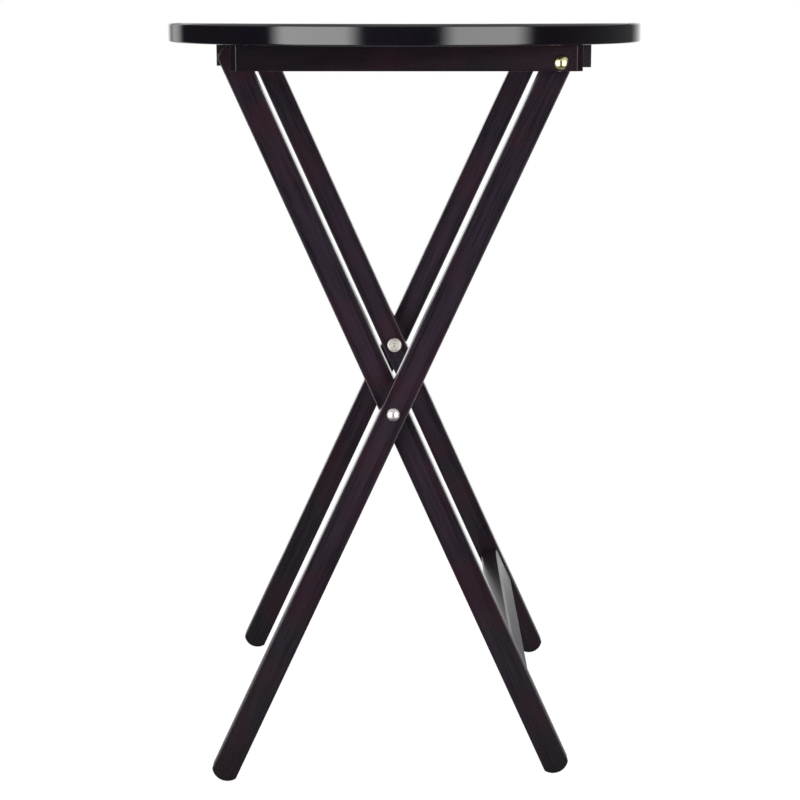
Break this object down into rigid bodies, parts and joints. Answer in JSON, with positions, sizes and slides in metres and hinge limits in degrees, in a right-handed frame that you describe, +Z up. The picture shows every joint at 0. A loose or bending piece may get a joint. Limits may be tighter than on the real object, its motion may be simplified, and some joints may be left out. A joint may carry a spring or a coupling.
{
  "type": "folding tray table",
  "caption": "Folding wooden tray table with an oval top, crossed legs hinged on bolts, a stop cleat and a low stretcher.",
  "frame": {"origin": "on the floor under the middle of the top", "axes": "+Z up; +X across the narrow way of the top, towards the side where it is hinged to the outer legs; +Y along its length"},
  "size_m": [0.43, 0.558, 0.6599],
  "materials": {
    "top_gloss": "near-black espresso stain under gloss lacquer",
    "batten_espresso": "dark espresso stain under satin lacquer",
    "leg_espresso": "dark espresso stain under satin lacquer, open grain",
    "brass_hardware": "lacquered brass, slightly dulled",
    "nickel_hardware": "bright nickel plate",
    "zinc_hardware": "dull zinc plate",
    "dowel_beech": "plain unfinished beech"
  },
  "bodies": {
    "outer_legs": {"front_outer_leg": "leg_espresso", "rear_outer_leg": "leg_espresso", "front_pivot_insert": "brass_hardware", "rear_pivot_insert": "brass_hardware", "front_cross_bolt": "nickel_hardware", "rear_cross_bolt": "nickel_hardware", "front_cross_washer": "zinc_hardware", "rear_cross_washer": "zinc_hardware", "front_pivot_bolt": "brass_hardware", "rear_pivot_bolt": "brass_hardware", "front_rail_washer": "zinc_hardware", "rear_rail_washer": "zinc_hardware"},
    "inner_frame": {"front_inner_leg": "leg_espresso", "rear_inner_leg": "leg_espresso", "lower_stretcher": "batten_espresso", "upper_crossbar": "batten_espresso", "front_cross_nut": "nickel_hardware", "rear_cross_nut": "nickel_hardware", "front_stretcher_dowel_1": "dowel_beech", "front_stretcher_dowel_2": "dowel_beech", "rear_stretcher_dowel_1": "dowel_beech", "rear_stretcher_dowel_2": "dowel_beech"},
    "top": {"tabletop": "top_gloss", "front_rail": "batten_espresso", "rear_rail": "batten_espresso", "left_stop_cleat": "batten_espresso", "right_cleat": "batten_espresso", "front_rail_screw_1": "zinc_hardware", "front_rail_screw_2": "zinc_hardware", "front_rail_screw_3": "zinc_hardware", "rear_rail_screw_1": "zinc_hardware", "rear_rail_screw_2": "zinc_hardware", "rear_rail_screw_3": "zinc_hardware", "left_cleat_screw_1": "zinc_hardware", "left_cleat_screw_2": "zinc_hardware", "right_cleat_screw_1": "zinc_hardware", "right_cleat_screw_2": "zinc_hardware"}
  },
  "joints": [
    {"name": "top_tilt", "type": "hinge", "parent": "outer_legs", "child": "top", "pos_m": [0.12779, 0, 0.6284], "axis": [0, 1, 0], "range_deg": [0, 114.8]},
    {"name": "leg_fold", "type": "hinge", "parent": "outer_legs", "child": "inner_frame", "pos_m": [-0.0096, 0, 0.3314], "axis": [0, 1, 0], "range_deg": [0, 48.9]}
  ],
  "couplings": [
    {"joint": "leg_fold", "follows": "top_tilt", "ratio": 0.4259}
  ]
}
